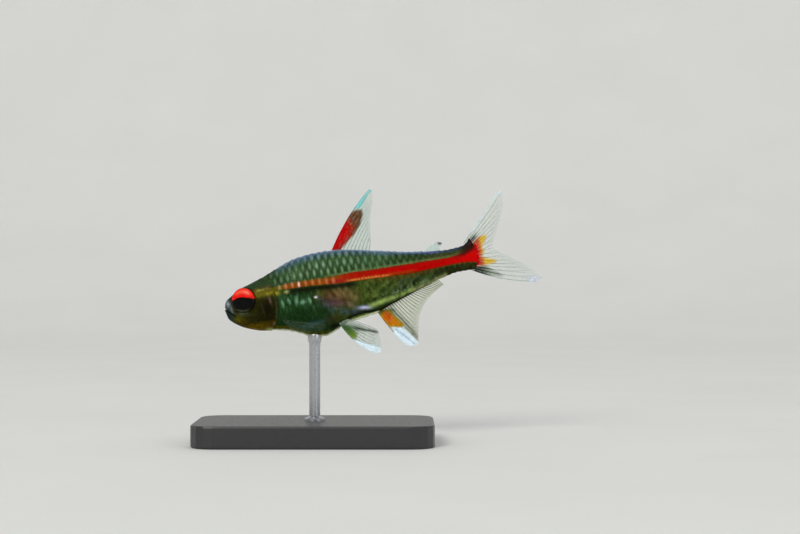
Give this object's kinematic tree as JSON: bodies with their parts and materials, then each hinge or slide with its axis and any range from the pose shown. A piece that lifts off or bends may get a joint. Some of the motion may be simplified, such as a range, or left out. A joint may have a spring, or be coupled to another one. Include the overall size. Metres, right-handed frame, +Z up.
{
  "type": "glowlight tetra",
  "caption": "Life-size still model of a glowlight tetra with a forked tail fin and ridged fins, its tail swung to one side, held by an upright rod over a flat rectangular base.",
  "frame": {"origin": "middle of the underside of the stand's base, on the floor", "axes": "+X from the head towards the tail fin, +Y to the fish's right side, +Z up"},
  "size_m": [0.044, 0.018, 0.032],
  "materials": {
    "skin": "wet, olive scaled skin with a red-orange stripe",
    "fin": "clear fin membrane with fine rays and coloured front edges",
    "eye": "glossy eye, red above a black pupil",
    "base": "satin black",
    "rod": "fine brushed"
  },
  "bodies": {
    "root": {"head": "skin", "gill_cover_left": "skin", "gill_cover_right": "skin", "trunk": "skin", "tail": "skin", "eye_left": "eye", "eye_right": "eye", "dorsal_fin": "fin", "adipose_fin": "fin", "anal_fin": "fin", "caudal_fin_upper": "fin", "caudal_fin_lower": "fin", "pectoral_fin_left": "fin", "pectoral_fin_right": "fin", "pelvic_fin_left": "fin", "pelvic_fin_right": "fin", "stand_base": "base", "stand_rod": "rod"}
  },
  "joints": []
}
